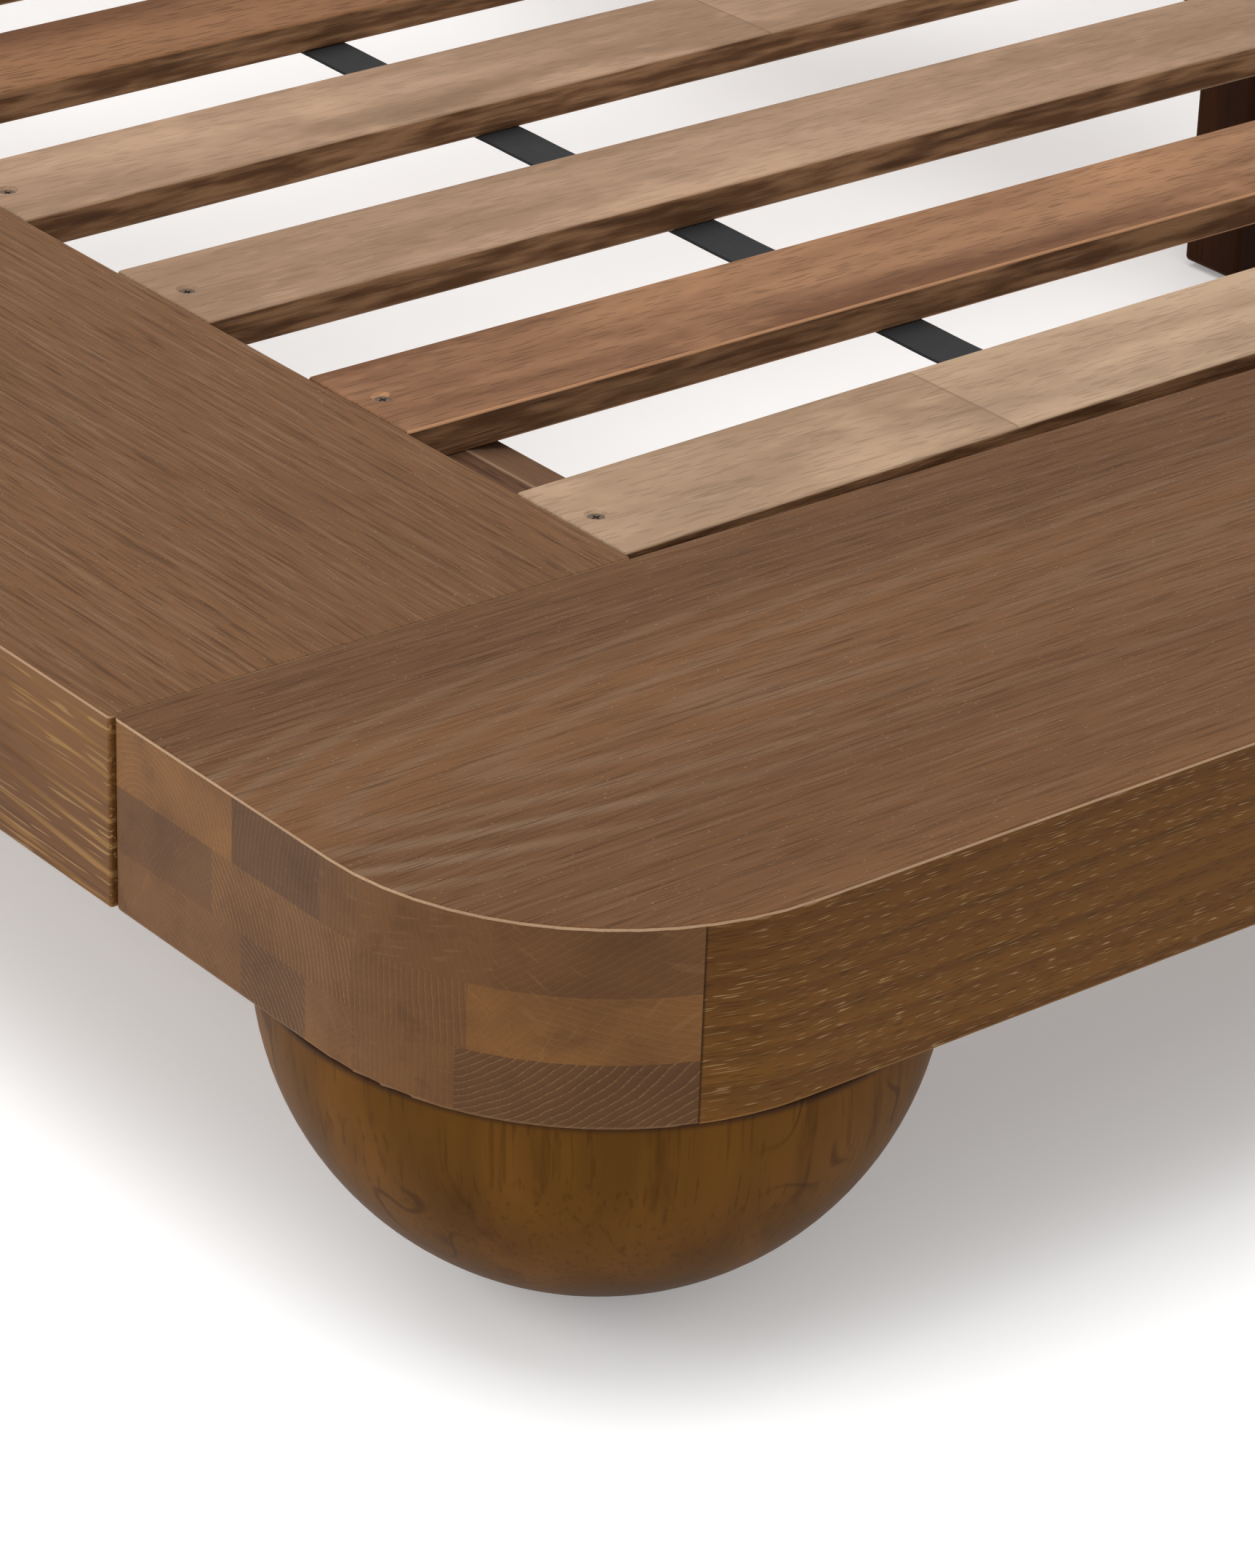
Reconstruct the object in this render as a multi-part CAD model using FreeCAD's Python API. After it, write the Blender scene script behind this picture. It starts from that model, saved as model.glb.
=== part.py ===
import FreeCAD, Part
import math
import os
from FreeCAD import Placement, Rotation, Vector

# Wooden platform bed frame.
# Origin: on the floor, under the middle of the bed.
# +X runs across the bed, +Y from its foot end to its head end, +Z up. Millimetres.

os.makedirs("parts", exist_ok=True)

# ---------------------------------------------------------------- driving sizes

# Outline
overall_width = 2080.0
overall_length = 2150.0

# Rails
rail_thickness = 80.0
end_rail_width = 254.0
side_rail_width = 242.0
corner_radius = 120.0
end_rail_setback = 1.5          # end rail's end face, in from the side rail's outer face
butt_gap = 0.8                  # side rail's end to end rail
face_board_thickness = 8.0      # long-grain board on the outside of each end rail
veneer_thickness = 1.4          # sawn veneer on the rails' tops
veneer_ease = 0.7               # rounding of the veneer's edge
lower_ease = 2.0                # rounding of the rails' lower edges
end_rail_corner_ease = 2.5      # rounding of the end rails' upright corners at the side rails
side_rail_corner_ease = 1.2     # rounding of the side rails' upright corners

# Ball feet
foot_radius = 128.0
foot_flat_cut = 6.0             # cut off the bottom of the half ball
foot_margin = 1.0               # ball's widest circle, in from the end rail's outer faces
foot_top_ease = 1.5
foot_flat_ease = 1.0

# Glides under the feet and the centre legs
glide_thickness = 3.0
foot_glide_radius = 30.0
leg_glide_radius = 15.0

# Slats. A bow is how far a slat's middle lies towards the head end of its two ends.
slat_bows = (12.0, 3.0, 5.0, 12.0, 9.0, 4.0, -5.0, 6.0, 10.0, -4.0, 7.0, -3.0)
slat_width = 70.0
slat_thickness = 16.0
slat_edge_ease = 1.5
slat_end_clearance = 1.0        # slat's end to side rail
outer_slat_gap = 5.0            # first and last slat to end rail

# Cleats that carry the slats' ends, and the wider blocks that end them in the corners
cleat_width = 20.0
cleat_depth = 32.0
cleat_ease = 1.5                # all the long edges
cleat_end_clearance = 0.5       # cleat to corner block
block_width = 56.0
block_bevel_width = 24.0        # the bevel along the inner top edge
block_bevel_drop = 5.0
block_ease = 1.5                # the bevel's lower edge
block_end_clearance = 2.0       # block to end rail
block_cover = 6.0               # from the block's end to the second slat's far edge

# Centre beam, its shoes and its legs
beam_width = 60.0
beam_depth = 44.0
beam_edge_ease = 2.0
beam_end_clearance = 1.0
shoe_plate = 2.5
shoe_seat_length = 40.0
shoe_flange = 28.0
shoe_drop = 3.0                 # top of the shoe, below the beam's top
shoe_clearance = 0.3            # cheek to beam
leg_width = 60.0
leg_length = 40.0
leg_edge_ease = 3.0
leg_offset = 370.0              # leg's centre, from the middle of the bed

# Straps under the slats
strap_width = 25.0
strap_thickness = 1.6
strap_offset = 528.0            # strap's centre, from the middle of the bed
strap_end_inset = 8.0           # strap's end, in from the outer edge of the outer slat
staple_crown = 14.0
staple_wire = 1.2
staple_bite = 9.0               # leg's length inside the slat

# Corner brackets
bracket_leg = 62.0
bracket_plate = 5.0
bracket_margin = 2.0            # between the bracket and the cleat, and the rail's underside
bracket_inner_round = 3.0
bracket_bolt_places = (24.0, 48.0)      # from the corner, along each leg

# Dowels between the side rails and the end rails
dowel_radius = 6.0
dowel_length = 60.0
dowel_chamfer = 1.5
dowel_end_gap = 1.0
dowel_spread = 140.0            # centre to centre

# Fasteners
slat_screw = {"shank": 2.0, "head": 3.6, "length": 42.0, "point": 6.0}
slat_screw_inset = 14.0         # screw's axis, in from the side rail's inner face
slat_hole_mouth = 5.0           # radius of the countersink at the slat's top
cleat_screw = {"shank": 2.25, "head": 4.2, "length": 50.0, "point": 6.0}
block_screw = {"shank": 2.5, "head": 4.8, "length": 88.0, "point": 8.0}
block_screw_spread = 70.0
shoe_screw = {"shank": 2.25, "head": 4.2, "length": 30.0, "point": 6.0}
bracket_bolt = {"shank": 4.0, "head": 7.0, "head_height": 4.4, "length": 24.0, "socket": 2.9}
bracket_washer_radius = 8.0
bracket_washer_thickness = 1.6
bracket_insert = {"radius": 6.0, "length": 18.0}
leg_bolt = {"shank": 4.0, "up": 16.0, "down": 40.0}
leg_insert = {"radius": 6.0, "length": 18.0}
foot_bolt = {"shank": 5.0, "up": 24.0, "down": 45.0}
foot_insert = {"radius": 7.5, "length": 26.0}

# Clearances
thread_clearance = 0.05         # shank, insert or dowel to its hole, on the radius
bolt_hole_clearance = 0.5       # bolt to plain hole in steel, on the radius
countersink_clearance = 0.1     # screw's head to its countersink
hole_end_clearance = 1.0        # past the end of a fastener

# ---------------------------------------------------------------- derived places

foot_height = foot_radius - foot_flat_cut
rail_underside = glide_thickness + foot_height
rail_top = rail_underside + rail_thickness
rail_middle = rail_underside + rail_thickness / 2
slat_underside = rail_top - slat_thickness

half_width = overall_width / 2
half_length = overall_length / 2
inner_x = half_width - side_rail_width      # side rail's inner face
inner_y = half_length - end_rail_width      # end rail's inner face
end_rail_half = half_width - end_rail_setback

foot_x = end_rail_half - foot_margin - foot_radius
foot_y = half_length - foot_margin - foot_radius
side_rail_x = half_width - side_rail_width / 2

slat_pitch = (2 * inner_y - 2 * outer_slat_gap - slat_width) / (len(slat_bows) - 1)
first_slat_y = -inner_y + outer_slat_gap + slat_width / 2
slat_places = [first_slat_y + slat_pitch * i for i in range(len(slat_bows))]
slat_half_length = inner_x - slat_end_clearance
slat_screw_x = inner_x - slat_screw_inset

cleat_inner_x = inner_x - cleat_width
block_inner_x = inner_x - block_width
block_outer_y = inner_y - block_end_clearance
block_inner_y = -(slat_places[1] + slat_width / 2 - block_cover)
cleat_half_length = block_inner_y - cleat_end_clearance
cleat_screw_z = slat_underside - cleat_depth / 2

beam_underside = slat_underside - beam_depth
beam_half_length = inner_y - beam_end_clearance
bracket_z = (rail_underside + bracket_margin, slat_underside - cleat_depth - bracket_margin)
bracket_middle = sum(bracket_z) / 2

X = Vector(1, 0, 0)
Y = Vector(0, 1, 0)
Z = Vector(0, 0, 1)


# ---------------------------------------------------------------- shape helpers

def box(x, y, z):
    """A block between the two values of each of x, y and z."""
    size = [high - low for low, high in (x, y, z)]
    return Part.makeBox(*size, Vector(x[0], y[0], z[0]))


def eased_box(x, y, z, ease):
    """A block with every edge rounded."""
    block = box(x, y, z)
    return block.makeFillet(ease, block.Edges)


def turned(profile):
    """A solid turned about Z from (radius, height) corners."""
    corners = [Vector(radius, 0, height) for radius, height in profile]
    face = Part.Face(Part.makePolygon(corners + corners[:1]))
    return face.revolve(Vector(0, 0, 0), Z, 360)


def placed(shape, position, direction=Z):
    """A copy moved to a position, with its own +Z turned to a direction."""
    copy = shape.copy()
    move = Placement(Vector(*position), Rotation(Z, Vector(direction)))
    copy.Placement = move.multiply(copy.Placement)
    return copy


def mirrored(shape, normal):
    """A copy on the other side of the bed's middle plane with that normal."""
    return shape.mirror(Vector(0, 0, 0), normal)


def group(solids):
    return Part.makeCompound(solids)


def export(node, shape):
    shape.exportStep("parts/" + node + ".step")


def edges_at(shape, test):
    """The edges whose two ends and middle all pass a test."""
    found = []
    for edge in shape.Edges:
        middle = edge.valueAt((edge.FirstParameter + edge.LastParameter) / 2)
        points = [vertex.Point for vertex in edge.Vertexes] + [middle]
        if all(test(point) for point in points):
            found.append(edge)
    return found


def near(value, target):
    return abs(value - target) < 0.01


# ---------------------------------------------------------------- fasteners
# Each is made about Z, with its head's top at the origin and its point towards -Z.

def wood_screw(size):
    """A countersunk screw with a cross recess."""
    shank, head, length = size["shank"], size["head"], size["length"]
    head_height = head - shank
    screw = turned([(0, 0), (head, 0), (shank, -head_height),
                    (shank, size["point"] - length), (0, -length)])
    slot_half, slot_width, slot_depth = head * 0.55, head * 0.14, head_height * 0.9
    for across, along in ((slot_half, slot_width), (slot_width, slot_half)):
        screw = screw.cut(box((-across, across), (-along, along), (-slot_depth, slot_depth)))
    return screw


def wood_screw_hole(size, mouth=None):
    """The hole for a wood screw, open above its head."""
    shank = size["shank"] + thread_clearance
    mouth = mouth or size["head"] + countersink_clearance
    top = mouth - size["head"] - countersink_clearance
    bottom = top + shank - mouth
    end = -size["length"] - hole_end_clearance
    return turned([(0, top + hole_end_clearance), (mouth, top + hole_end_clearance),
                   (mouth, top), (shank, bottom), (shank, end), (0, end)])


def socket_bolt(size):
    """A round-headed bolt with a hexagon socket. Its head's seat is at the origin."""
    shank, head, height = size["shank"], size["head"], size["head_height"]
    bolt = turned([(0, height), (head * 0.55, height), (head * 0.88, height * 0.6),
                   (head, height * 0.15), (head, 0), (shank, 0),
                   (shank, 1 - size["length"]), (shank - 1, -size["length"]),
                   (0, -size["length"])])
    turns = [math.radians(60 * i) for i in range(6)]
    corners = [Vector(size["socket"] * math.cos(a), size["socket"] * math.sin(a), height * 0.3)
               for a in turns]
    socket = Part.Face(Part.makePolygon(corners + corners[:1])).extrude(Z * height)
    return bolt.cut(socket)


def tube(outer, inner, low, high):
    return turned([(inner, low), (outer, low), (outer, high), (inner, high)])


def blind_hole(radius, depth):
    """A plain hole that starts at the origin and runs towards -Z, open above it."""
    return Part.makeCylinder(radius, depth + hole_end_clearance, Vector(0, 0, -depth))


def hanger_bolt(size):
    """A headless bolt from its joint at the origin, up into metal and down into wood."""
    shank, up, down = size["shank"], size["up"], size["down"]
    return turned([(0, up), (shank - 1, up), (shank, up - 1), (shank, shank - down), (0, -down)])


# ---------------------------------------------------------------- where fasteners go
# Each place is (position, direction), the direction being where the head faces.

slat_screw_recess = slat_hole_mouth - slat_screw["head"] - countersink_clearance
slat_screw_z = rail_top - slat_screw_recess
slat_screw_places = [((side * slat_screw_x, y, slat_screw_z), Z)
                     for y in slat_places for side in (-1, 1)]
cleat_screw_places = [((side * cleat_inner_x, y + slat_pitch / 2, cleat_screw_z), X * -side)
                      for y in slat_places[1:-1:2] for side in (-1, 1)]
block_screw_y = (slat_places[-1] + slat_places[-2]) / 2
block_screw_places = [((side * block_inner_x, end * block_screw_y + shift * block_screw_spread / 2,
                        cleat_screw_z), X * -side)
                      for end in (-1, 1) for side in (-1, 1) for shift in (-1, 1)]

flange_x = beam_width / 2 + shoe_clearance + shoe_plate + shoe_flange / 2
flange_zs = [beam_underside + beam_depth * share for share in (0.25, 0.75)]
shoe_screw_places = [((side * flange_x, end * (inner_y - shoe_plate), z), Y * -end)
                     for end in (-1, 1) for side in (-1, 1) for z in flange_zs]
shoe_screw_places += [((0, end * (inner_y - shoe_seat_length / 2), beam_underside - shoe_plate), Z * -1)
                      for end in (-1, 1)]

bracket_places = []
for side in (-1, 1):
    for end in (-1, 1):
        for reach in bracket_bolt_places:
            on_side = (side * inner_x, end * (inner_y - reach), bracket_middle)
            on_end = (side * (inner_x - reach), end * inner_y, bracket_middle)
            bracket_places += [(on_side, X * -side), (on_end, Y * -end)]

dowel_places = [(side * (side_rail_x + shift * dowel_spread / 2), end * inner_y, rail_middle)
                for side in (-1, 1) for end in (-1, 1) for shift in (-1, 1)]
foot_places = {
    "foot_left": (-foot_x, -foot_y),
    "foot_right": (foot_x, -foot_y),
    "head_left": (-foot_x, foot_y),
    "head_right": (foot_x, foot_y),
}
leg_places = {"foot": -leg_offset, "head": leg_offset}


def holes(shape, places):
    """One copy of a hole at each place."""
    return [placed(shape, position, direction) for position, direction in places]


bracket_insert_hole = blind_hole(bracket_insert["radius"] + thread_clearance,
                                 bracket_insert["length"] + hole_end_clearance)
dowel_hole = Part.makeCylinder(dowel_radius + thread_clearance, dowel_length + 2 * dowel_end_gap,
                               Vector(0, 0, -dowel_length / 2 - dowel_end_gap))


# ---------------------------------------------------------------- rails

def ease_rims(rail):
    """The rail with its lower and upper rims rounded."""
    for height, ease in ((rail_underside, lower_ease), (rail_top, veneer_ease)):
        rail = rail.makeFillet(ease, edges_at(rail, lambda p: near(p.z, height)))
    return rail


def veneered(rail):
    """The rail in two pieces: what lies under the veneer, and the veneer."""
    veneer_z = (rail_top - veneer_thickness, rail_top)
    zone = box((-half_width, half_width), (-half_length, half_length), veneer_z)
    return rail.cut(zone), rail.common(zone)


def end_rail():
    """The foot rail: a thick board with two rounded outer corners, its face board and its veneer."""
    outer = -half_length
    arc_x = end_rail_half - corner_radius
    arc_y = outer + corner_radius
    reach = corner_radius * math.sqrt(0.5)
    left = Part.Arc(Vector(-end_rail_half, arc_y, 0), Vector(-arc_x - reach, arc_y - reach, 0),
                    Vector(-arc_x, outer, 0)).toShape()
    right = Part.Arc(Vector(arc_x, outer, 0), Vector(arc_x + reach, arc_y - reach, 0),
                     Vector(end_rail_half, arc_y, 0)).toShape()
    runs = [(Vector(-arc_x, outer, 0), Vector(arc_x, outer, 0)),
            (Vector(end_rail_half, arc_y, 0), Vector(end_rail_half, -inner_y, 0)),
            (Vector(end_rail_half, -inner_y, 0), Vector(-end_rail_half, -inner_y, 0)),
            (Vector(-end_rail_half, -inner_y, 0), Vector(-end_rail_half, arc_y, 0))]
    front, right_end, back, left_end = [Part.makeLine(*run) for run in runs]
    outline = Part.Wire([left, front, right, right_end, back, left_end])
    rail = Part.Face(outline).extrude(Z * rail_thickness)
    rail.translate(Z * rail_underside)
    back_corners = edges_at(rail, lambda p: near(p.y, -inner_y) and near(abs(p.x), end_rail_half))
    rail = ease_rims(rail.makeFillet(end_rail_corner_ease, back_corners))

    foot_insert_hole = blind_hole(foot_insert["radius"] + thread_clearance,
                                  foot_insert["length"] + hole_end_clearance)
    rail = rail.cut(holes(foot_insert_hole, [((x, y, rail_underside), Z * -1)
                                             for x, y in foot_places.values()]))
    rail = rail.cut(holes(bracket_insert_hole, bracket_places))
    rail = rail.cut(holes(dowel_hole, [(place, Y) for place in dowel_places]))
    rail = rail.cut(holes(wood_screw_hole(shoe_screw), shoe_screw_places))

    rail, veneer = veneered(rail)
    face_zone = box((-half_width, half_width), (outer, outer + face_board_thickness), (0, rail_top))
    return rail.cut(face_zone), rail.common(face_zone), veneer


def side_rail():
    """The left side rail, which butts both end rails, and its veneer."""
    reach = inner_y - butt_gap
    rail = box((-half_width, -inner_x), (-reach, reach), (rail_underside, rail_top))
    uprights = [edge for edge in rail.Edges if near(edge.Length, rail_thickness)]
    rail = ease_rims(rail.makeFillet(side_rail_corner_ease, uprights))
    rail = rail.cut(holes(bracket_insert_hole, bracket_places))
    rail = rail.cut(holes(dowel_hole, [(place, Y) for place in dowel_places]))
    rail = rail.cut(holes(wood_screw_hole(cleat_screw), cleat_screw_places))
    rail = rail.cut(holes(wood_screw_hole(block_screw), block_screw_places))
    return veneered(rail)


for name, piece in zip(("core", "face_board", "veneer"), end_rail()):
    export("foot_rail_" + name, piece)
    export("head_rail_" + name, mirrored(piece, Y))
for name, piece in zip(("core", "veneer"), side_rail()):
    export("side_rail_left_" + name, piece)
    export("side_rail_right_" + name, mirrored(piece, X))


# ---------------------------------------------------------------- rail joints

def dowel():
    half = dowel_length / 2
    inner = dowel_radius - dowel_chamfer
    return turned([(0, -half), (inner, -half), (dowel_radius, dowel_chamfer - half),
                   (dowel_radius, half - dowel_chamfer), (inner, half), (0, half)])


def corner_bracket():
    """The steel angle at the foot end, left: one leg on each rail, below the cleat."""
    along_side = box((-inner_x, -inner_x + bracket_plate), (-inner_y, -inner_y + bracket_leg), bracket_z)
    along_end = box((-inner_x, -inner_x + bracket_leg), (-inner_y, -inner_y + bracket_plate), bracket_z)
    angle = along_side.fuse(along_end).removeSplitter()
    bend_x, bend_y = -inner_x + bracket_plate, -inner_y + bracket_plate
    bend = edges_at(angle, lambda p: near(p.x, bend_x) and near(p.y, bend_y))
    angle = angle.makeFillet(bracket_inner_round, bend)
    clear_hole = Part.makeCylinder(bracket_bolt["shank"] + bolt_hole_clearance,
                                   4 * bracket_plate, Vector(0, 0, -2 * bracket_plate))
    return angle.cut(holes(clear_hole, bracket_places))


bracket = corner_bracket()
export("corner_bracket_foot_left", bracket)
export("corner_bracket_foot_right", mirrored(bracket, X))
export("corner_bracket_head_left", mirrored(bracket, Y))
export("corner_bracket_head_right", mirrored(mirrored(bracket, X), Y))

bracket_seat = bracket_plate + bracket_washer_thickness
washer = tube(bracket_washer_radius, bracket_bolt["shank"] + bolt_hole_clearance,
              bracket_plate, bracket_seat)
bolt = socket_bolt(bracket_bolt)
bolt.translate(Z * bracket_seat)
insert = tube(bracket_insert["radius"], bracket_bolt["shank"] + thread_clearance,
              -bracket_insert["length"], 0)
export("bracket_washers", group([placed(washer, *place) for place in bracket_places]))
export("bracket_bolts", group([placed(bolt, *place) for place in bracket_places]))
export("bracket_inserts", group([placed(insert, *place) for place in bracket_places]))
export("rail_dowels", group([placed(dowel(), place, Y) for place in dowel_places]))


# ---------------------------------------------------------------- ball feet

def ball_foot():
    """Half a ball, flat side up, cut short at the floor."""
    half_ball = Part.makeSphere(foot_radius, Vector(0, 0, rail_underside))
    keep = Part.makeCylinder(2 * foot_radius, foot_height, Vector(0, 0, glide_thickness))
    half_ball = half_ball.common(keep)
    for height, ease in ((rail_underside, foot_top_ease), (glide_thickness, foot_flat_ease)):
        half_ball = half_ball.makeFillet(ease, edges_at(half_ball, lambda p: near(p.z, height)))
    hole = blind_hole(foot_bolt["shank"] + thread_clearance, foot_bolt["down"] + hole_end_clearance)
    return half_ball.cut(placed(hole, (0, 0, rail_underside)))


foot = ball_foot()
for corner, (x, y) in foot_places.items():
    export("ball_foot_" + corner, placed(foot, (x, y, 0)))

foot_tops = [(x, y, rail_underside) for x, y in foot_places.values()]
insert = tube(foot_insert["radius"], foot_bolt["shank"] + thread_clearance, 0, foot_insert["length"])
glide = Part.makeCylinder(foot_glide_radius, glide_thickness)
export("foot_bolts", group([placed(hanger_bolt(foot_bolt), place) for place in foot_tops]))
export("foot_inserts", group([placed(insert, place) for place in foot_tops]))
export("foot_glides", group([placed(glide, (x, y, 0)) for x, y in foot_places.values()]))


# ---------------------------------------------------------------- straps and staples

def strap():
    """The left strap, flat under every slat."""
    reach = slat_places[-1] + slat_width / 2 - strap_end_inset
    x = (-strap_offset - strap_width / 2, -strap_offset + strap_width / 2)
    return box(x, (-reach, reach), (slat_underside - strap_thickness, slat_underside))


def staple():
    """A staple with its crown's top at the origin and its legs up."""
    half, wire = staple_crown / 2, staple_wire
    crown = box((-half, half), (-wire / 2, wire / 2), (-wire, 0))
    top = strap_thickness + staple_bite
    legs = [box(x, (-wire / 2, wire / 2), (-wire, top)) for x in ((-half, wire - half), (half - wire, half))]
    return crown.fuse(legs).removeSplitter()


def bow_at(bow, x):
    """How far a slat with that bow lies towards the head end, at x."""
    return bow * (1 - (x / slat_half_length) ** 2)


staple_z = slat_underside - strap_thickness
staples = [placed(staple(), (side * strap_offset, y + bow_at(bow, strap_offset), staple_z))
           for y, bow in zip(slat_places, slat_bows) for side in (-1, 1)]
left_strap = strap()
export("strap_left", left_strap.cut(staples))
export("strap_right", mirrored(left_strap, X).cut(staples))
export("strap_staples", group(staples))


# ---------------------------------------------------------------- slats and cleats

def slat_edge(y, bow):
    """One long edge of a slat's outline, a slight arc."""
    start = Vector(-slat_half_length, y, slat_underside)
    middle = Vector(0, y + bow, slat_underside)
    end = Vector(slat_half_length, y, slat_underside)
    return Part.Arc(start, middle, end).toShape() if bow else Part.makeLine(start, end)


def slat(y, bow):
    long_edges = [slat_edge(y + side * slat_width / 2, bow) for side in (-1, 1)]
    ends = [Part.makeLine(Vector(x, y - slat_width / 2, slat_underside),
                          Vector(x, y + slat_width / 2, slat_underside))
            for x in (-slat_half_length, slat_half_length)]
    outline = Part.Wire(Part.__sortEdges__(long_edges + ends))
    board = Part.Face(outline).extrude(Z * slat_thickness)
    board = board.makeFillet(slat_edge_ease, board.Edges)
    screws_here = [place for place in slat_screw_places if near(place[0][1], y)]
    staples_here = [piece for piece in staples if abs(piece.BoundBox.Center.y - y) < slat_width / 2]
    return board.cut(holes(wood_screw_hole(slat_screw, slat_hole_mouth), screws_here) + staples_here)


def cleat():
    """The left cleat, along the side rail's inner face between the corner blocks."""
    strip = box((-inner_x, -cleat_inner_x), (-cleat_half_length, cleat_half_length),
                (slat_underside - cleat_depth, slat_underside))
    long_edges = [edge for edge in strip.Edges if near(edge.Length, 2 * cleat_half_length)]
    strip = strip.makeFillet(cleat_ease, long_edges)
    strip = strip.cut(holes(wood_screw_hole(slat_screw), slat_screw_places))
    return strip.cut(holes(wood_screw_hole(cleat_screw), cleat_screw_places))


def corner_block():
    """The block in the foot left corner, under the first two slats."""
    underside, bevel_z = slat_underside - cleat_depth, slat_underside - block_bevel_drop
    outline = [(-inner_x, underside), (-inner_x, slat_underside),
               (-block_inner_x - block_bevel_width, slat_underside),
               (-block_inner_x, bevel_z), (-block_inner_x, underside), (-inner_x, underside)]
    end = Part.Face(Part.makePolygon([Vector(x, -block_outer_y, z) for x, z in outline]))
    block = end.extrude(Y * (block_outer_y - block_inner_y))
    rim = edges_at(block, lambda p: near(p.x, -block_inner_x) and near(p.z, bevel_z))
    block = block.makeFillet(block_ease, rim)
    block = block.cut(holes(wood_screw_hole(slat_screw), slat_screw_places))
    return block.cut(holes(wood_screw_hole(block_screw), block_screw_places))


for number, (y, bow) in enumerate(zip(slat_places, slat_bows), start=1):
    export("slat_%02d" % number, slat(y, bow))
export("slat_screws", group([placed(wood_screw(slat_screw), *place) for place in slat_screw_places]))

left_cleat = cleat()
export("cleat_left", left_cleat)
export("cleat_right", mirrored(left_cleat, X))
export("cleat_screws", group([placed(wood_screw(cleat_screw), *place) for place in cleat_screw_places]))

foot_left_block = corner_block()
export("corner_block_foot_left", foot_left_block)
export("corner_block_foot_right", mirrored(foot_left_block, X))
export("corner_block_head_left", mirrored(foot_left_block, Y))
export("corner_block_head_right", mirrored(mirrored(foot_left_block, X), Y))
export("corner_block_screws",
       group([placed(wood_screw(block_screw), *place) for place in block_screw_places]))


# ---------------------------------------------------------------- centre beam and legs

def beam():
    """The beam down the middle, under the slats."""
    bar = box((-beam_width / 2, beam_width / 2), (-beam_half_length, beam_half_length),
              (beam_underside, slat_underside))
    long_edges = [edge for edge in bar.Edges if edge.Length > beam_half_length]
    bar = bar.makeFillet(beam_edge_ease, long_edges)
    hole = blind_hole(leg_insert["radius"] + thread_clearance, leg_insert["length"] + hole_end_clearance)
    bar = bar.cut(holes(hole, [((0, y, beam_underside), Z * -1) for y in leg_places.values()]))
    return bar.cut(holes(wood_screw_hole(shoe_screw), shoe_screw_places))


def beam_shoe():
    """The steel shoe at the foot end: a seat and two cheeks, with a flange beside each cheek."""
    cheek_x = beam_width / 2 + shoe_clearance
    outer_x = cheek_x + shoe_plate
    top = slat_underside - shoe_drop
    seat_y = (-inner_y, -inner_y + shoe_seat_length)
    pieces = [box((-outer_x, outer_x), seat_y, (beam_underside - shoe_plate, beam_underside))]
    for side in (-1, 1):
        cheek = sorted((side * cheek_x, side * outer_x))
        flange = sorted((side * cheek_x, side * (outer_x + shoe_flange)))
        pieces.append(box(cheek, seat_y, (beam_underside - shoe_plate, top)))
        pieces.append(box(flange, (-inner_y, -inner_y + shoe_plate), (beam_underside, top)))
    shoe = pieces[0].fuse(pieces[1:]).removeSplitter()
    return shoe.cut(holes(wood_screw_hole(shoe_screw), shoe_screw_places))


def leg(y):
    """A centre leg, from its glide to the beam."""
    post = eased_box((-leg_width / 2, leg_width / 2), (y - leg_length / 2, y + leg_length / 2),
                     (glide_thickness, beam_underside), leg_edge_ease)
    hole = blind_hole(leg_bolt["shank"] + thread_clearance, leg_bolt["down"] + hole_end_clearance)
    return post.cut(placed(hole, (0, y, beam_underside)))


export("center_beam", beam())
shoe = beam_shoe()
export("beam_shoe_foot", shoe)
export("beam_shoe_head", mirrored(shoe, Y))
export("shoe_screws", group([placed(wood_screw(shoe_screw), *place) for place in shoe_screw_places]))
for end, y in leg_places.items():
    export("center_leg_" + end, leg(y))

leg_tops = [(0, y, beam_underside) for y in leg_places.values()]
insert = tube(leg_insert["radius"], leg_bolt["shank"] + thread_clearance, 0, leg_insert["length"])
glide = Part.makeCylinder(leg_glide_radius, glide_thickness)
export("leg_bolts", group([placed(hanger_bolt(leg_bolt), place) for place in leg_tops]))
export("leg_inserts", group([placed(insert, place) for place in leg_tops]))
export("leg_glides", group([placed(glide, (0, y, 0)) for y in leg_places.values()]))
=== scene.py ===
import math

import bpy
from mathutils import Euler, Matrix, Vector


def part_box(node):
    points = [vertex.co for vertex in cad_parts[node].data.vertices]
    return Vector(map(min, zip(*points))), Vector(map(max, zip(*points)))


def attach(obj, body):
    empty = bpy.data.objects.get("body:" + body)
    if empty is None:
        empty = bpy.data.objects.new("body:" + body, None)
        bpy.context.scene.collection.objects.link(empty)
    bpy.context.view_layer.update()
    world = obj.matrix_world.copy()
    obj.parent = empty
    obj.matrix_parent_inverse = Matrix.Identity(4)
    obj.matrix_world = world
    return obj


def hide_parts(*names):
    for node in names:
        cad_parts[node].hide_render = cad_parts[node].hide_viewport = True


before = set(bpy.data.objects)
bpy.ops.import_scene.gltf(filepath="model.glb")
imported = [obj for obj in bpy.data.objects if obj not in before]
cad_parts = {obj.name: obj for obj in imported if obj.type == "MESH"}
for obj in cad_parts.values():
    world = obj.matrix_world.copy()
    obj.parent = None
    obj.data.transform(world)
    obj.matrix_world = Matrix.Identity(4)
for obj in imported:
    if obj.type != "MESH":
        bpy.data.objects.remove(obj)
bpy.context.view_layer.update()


# ---- End rail cores -------------------------------------------------------------------------
# Oak staves glued up in three layers, running the length of the rail, then sanded and stained.
# The rounded ends show every stave's end grain, its rings filled with pale wax.

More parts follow.
